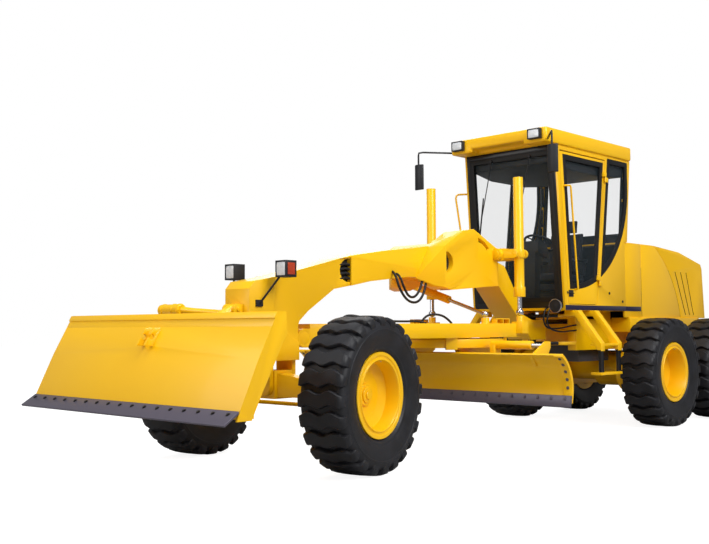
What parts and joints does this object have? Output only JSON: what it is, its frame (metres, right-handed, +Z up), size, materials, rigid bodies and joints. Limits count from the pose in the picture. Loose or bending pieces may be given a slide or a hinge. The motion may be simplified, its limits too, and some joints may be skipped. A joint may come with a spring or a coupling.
{
  "type": "motor grader",
  "caption": "Articulated motor grader with steered front wheels, tandem rear wheels, cab, turning moldboard under the gooseneck and a front dozer blade.",
  "frame": {"origin": "on the ground, midway along the machine and on its centre plane", "axes": "+X forward along the machine, +Y to its left, +Z up"},
  "size_m": [9.7558, 3.66, 3.569],
  "materials": {
    "yellow": "gloss",
    "tyre": "matte",
    "chrome": "polished",
    "wear_steel": "satin",
    "grey_paint": "satin",
    "glass": "clear",
    "black_plastic": "matte",
    "black_steel": "satin"
  },
  "bodies": {
    "rear_frame": {"rear_frame": "yellow", "rear_axle": "yellow", "tandem_cases": "yellow", "engine": "grey_paint", "transmission": "grey_paint", "hood": "yellow", "rear_grille": "yellow", "side_boxes": "yellow", "exhaust": "black_steel", "cab_body": "yellow", "cab_roof": "yellow", "cab_glass": "glass", "operator_seat": "black_plastic", "steering_console": "black_plastic", "ladders": "yellow", "mirrors": "black_plastic", "cab_lamps": "black_plastic"},
    "front_frame": {"front_frame": "yellow", "front_axle": "yellow", "saddle": "yellow", "headlamps": "black_plastic"},
    "knuckle_left": {"knuckle_left": "yellow"},
    "knuckle_right": {"knuckle_right": "yellow"},
    "tie_rod": {"tie_rod": "yellow"},
    "drawbar_socket": {"drawbar_socket": "yellow"},
    "drawbar": {"drawbar": "yellow"},
    "circle": {"circle": "yellow"},
    "blade_carrier": {"blade_carrier": "yellow", "shift_tube": "yellow"},
    "moldboard": {"moldboard": "yellow", "cutting_edge": "wear_steel", "shift_rod": "chrome"},
    "lift_tube_left": {"lift_tube_left": "yellow"},
    "lift_rod_left": {"lift_rod_left": "chrome"},
    "lift_tube_right": {"lift_tube_right": "yellow"},
    "lift_rod_right": {"lift_rod_right": "chrome"},
    "swing_yoke": {"swing_yoke": "yellow"},
    "swing_tube": {"swing_tube": "yellow"},
    "swing_rod": {"swing_rod": "chrome"},
    "dozer": {"dozer_frame": "yellow", "dozer_blade": "yellow", "dozer_edge": "wear_steel"},
    "dozer_tube": {"dozer_tube": "yellow"},
    "dozer_rod": {"dozer_rod": "chrome"},
    "door_left": {"door_left": "yellow", "door_glass_left": "glass"},
    "door_right": {"door_right": "yellow", "door_glass_right": "glass"},
    "wheel_front_left": {"tyre_front_left": "tyre", "rim_front_left": "yellow"},
    "wheel_front_right": {"tyre_front_right": "tyre", "rim_front_right": "yellow"},
    "wheel_mid_left": {"tyre_mid_left": "tyre", "rim_mid_left": "yellow"},
    "wheel_mid_right": {"tyre_mid_right": "tyre", "rim_mid_right": "yellow"},
    "wheel_rear_left": {"tyre_rear_left": "tyre", "rim_rear_left": "yellow"},
    "wheel_rear_right": {"tyre_rear_right": "tyre", "rim_rear_right": "yellow"}
  },
  "joints": [
    {"name": "articulation", "type": "hinge", "parent": "rear_frame", "child": "front_frame", "pos_m": [-1.13, 0, 1.21], "axis": [0, 0, 1], "range_deg": [-25, 25]},
    {"name": "steer_left", "type": "hinge", "parent": "front_frame", "child": "knuckle_left", "pos_m": [3.12, 0.86, 0.675], "axis": [0, 0, 1], "range_deg": [-55.4, 34.6]},
    {"name": "steer_right", "type": "hinge", "parent": "front_frame", "child": "knuckle_right", "pos_m": [3.12, -0.86, 0.675], "axis": [0, 0, 1], "range_deg": [-55.4, 34.6]},
    {"name": "tie_rod_pivot", "type": "hinge", "parent": "knuckle_left", "child": "tie_rod", "pos_m": [2.8446, 0.80946, 0.57], "axis": [0, 0, 1], "range_deg": [-34.6, 55.4]},
    {"name": "spin_front_left", "type": "hinge", "parent": "knuckle_left", "child": "wheel_front_left", "pos_m": [3.07848, 1.08622, 0.675], "axis": [-0.1805, 0.9836, 0], "continuous": true},
    {"name": "spin_front_right", "type": "hinge", "parent": "knuckle_right", "child": "wheel_front_right", "pos_m": [3.16152, -1.08622, 0.675], "axis": [-0.1805, 0.9836, 0], "continuous": true},
    {"name": "spin_mid_left", "type": "hinge", "parent": "rear_frame", "child": "wheel_mid_left", "pos_m": [-2.361, 1.09, 0.675], "axis": [0, 1, 0], "continuous": true},
    {"name": "spin_mid_right", "type": "hinge", "parent": "rear_frame", "child": "wheel_mid_right", "pos_m": [-2.361, -1.09, 0.675], "axis": [0, 1, 0], "continuous": true},
    {"name": "spin_rear_left", "type": "hinge", "parent": "rear_frame", "child": "wheel_rear_left", "pos_m": [-3.899, 1.09, 0.675], "axis": [0, 1, 0], "continuous": true},
    {"name": "spin_rear_right", "type": "hinge", "parent": "rear_frame", "child": "wheel_rear_right", "pos_m": [-3.899, -1.09, 0.675], "axis": [0, 1, 0], "continuous": true},
    {"name": "drawbar_shift", "type": "hinge", "parent": "front_frame", "child": "drawbar_socket", "pos_m": [2.82, 0, 1.15], "axis": [0, 0, 1], "range_deg": [-8, 8]},
    {"name": "drawbar_lift", "type": "hinge", "parent": "drawbar_socket", "child": "drawbar", "pos_m": [2.82, 0, 1.15], "axis": [0, 1, 0], "range_deg": [-15, 2]},
    {"name": "circle_turn", "type": "hinge", "parent": "drawbar", "child": "circle", "pos_m": [0.72, 0, 1.075], "axis": [0, 0, 1], "continuous": true},
    {"name": "blade_pitch", "type": "hinge", "parent": "circle", "child": "blade_carrier", "pos_m": [0.76, 0, 0.66], "axis": [0, 1, 0], "range_deg": [-3, 35]},
    {"name": "blade_shift", "type": "slide", "parent": "blade_carrier", "child": "moldboard", "axis": [0, 1, 0], "range_m": [-0.06, 0.38]},
    {"name": "lift_tilt_left", "type": "hinge", "parent": "front_frame", "child": "lift_tube_left", "pos_m": [0.05, 0.63, 2.06], "axis": [1, 0, 0], "range_deg": [-31, 31]},
    {"name": "lift_stroke_left", "type": "slide", "parent": "lift_tube_left", "child": "lift_rod_left", "axis": [0, 0, 1], "range_m": [-0.73, 0.1]},
    {"name": "lift_tilt_right", "type": "hinge", "parent": "front_frame", "child": "lift_tube_right", "pos_m": [0.05, -0.63, 2.06], "axis": [1, 0, 0], "range_deg": [-31, 31]},
    {"name": "lift_stroke_right", "type": "slide", "parent": "lift_tube_right", "child": "lift_rod_right", "axis": [0, 0, 1], "range_m": [-0.73, 0.1]},
    {"name": "swing_lean", "type": "hinge", "parent": "front_frame", "child": "swing_yoke", "pos_m": [0.52, -0.7, 1.79], "axis": [1, 0, 0], "range_deg": [-4.7, 4.7]},
    {"name": "swing_tilt", "type": "hinge", "parent": "swing_yoke", "child": "swing_tube", "pos_m": [0.52, -0.5484, 1.73883], "axis": [1, 0, 0], "range_deg": [-33.5, 4.8]},
    {"name": "swing_stroke", "type": "slide", "parent": "swing_tube", "child": "swing_rod", "axis": [0, 0.9475, -0.3198], "range_m": [-0.31, 0.31]},
    {"name": "dozer_lift", "type": "hinge", "parent": "front_frame", "child": "dozer", "pos_m": [3.6, 0, 0.8], "axis": [0, 1, 0], "range_deg": [-5, 28]},
    {"name": "dozer_tilt", "type": "hinge", "parent": "front_frame", "child": "dozer_tube", "pos_m": [3.625, 0, 1.415], "axis": [0, 1, 0], "range_deg": [-4, 20]},
    {"name": "dozer_stroke", "type": "slide", "parent": "dozer_tube", "child": "dozer_rod", "axis": [0.8863, 0, -0.4632], "range_m": [-0.06, 0.26]},
    {"name": "door_left_hinge", "type": "hinge", "parent": "rear_frame", "child": "door_left", "pos_m": [-1.555, 0.69, 1.51], "axis": [-0.1417, 0, 0.9899], "range_deg": [0, 95]},
    {"name": "door_right_hinge", "type": "hinge", "parent": "rear_frame", "child": "door_right", "pos_m": [-1.555, -0.69, 1.51], "axis": [0.1417, 0, -0.9899], "range_deg": [0, 95]}
  ],
  "couplings": [
    {"joint": "steer_right", "follows": "steer_left", "ratio": 1},
    {"joint": "tie_rod_pivot", "follows": "steer_left", "ratio": -1},
    {"joint": "lift_tilt_left", "follows": "drawbar_shift", "ratio": -3.83},
    {"joint": "lift_tilt_right", "follows": "drawbar_shift", "ratio": -3.83},
    {"joint": "lift_stroke_left", "follows": "drawbar_lift", "m_per_rad": 2.77},
    {"joint": "lift_stroke_right", "follows": "drawbar_lift", "m_per_rad": 2.77},
    {"joint": "swing_lean", "follows": "drawbar_shift", "ratio": -0.57},
    {"joint": "swing_tilt", "follows": "drawbar_lift", "ratio": 2.2},
    {"joint": "swing_stroke", "follows": "drawbar_shift", "m_per_rad": -2.17},
    {"joint": "dozer_tilt", "follows": "dozer_lift", "ratio": 0.66},
    {"joint": "dozer_stroke", "follows": "dozer_lift", "m_per_rad": 0.515}
  ]
}
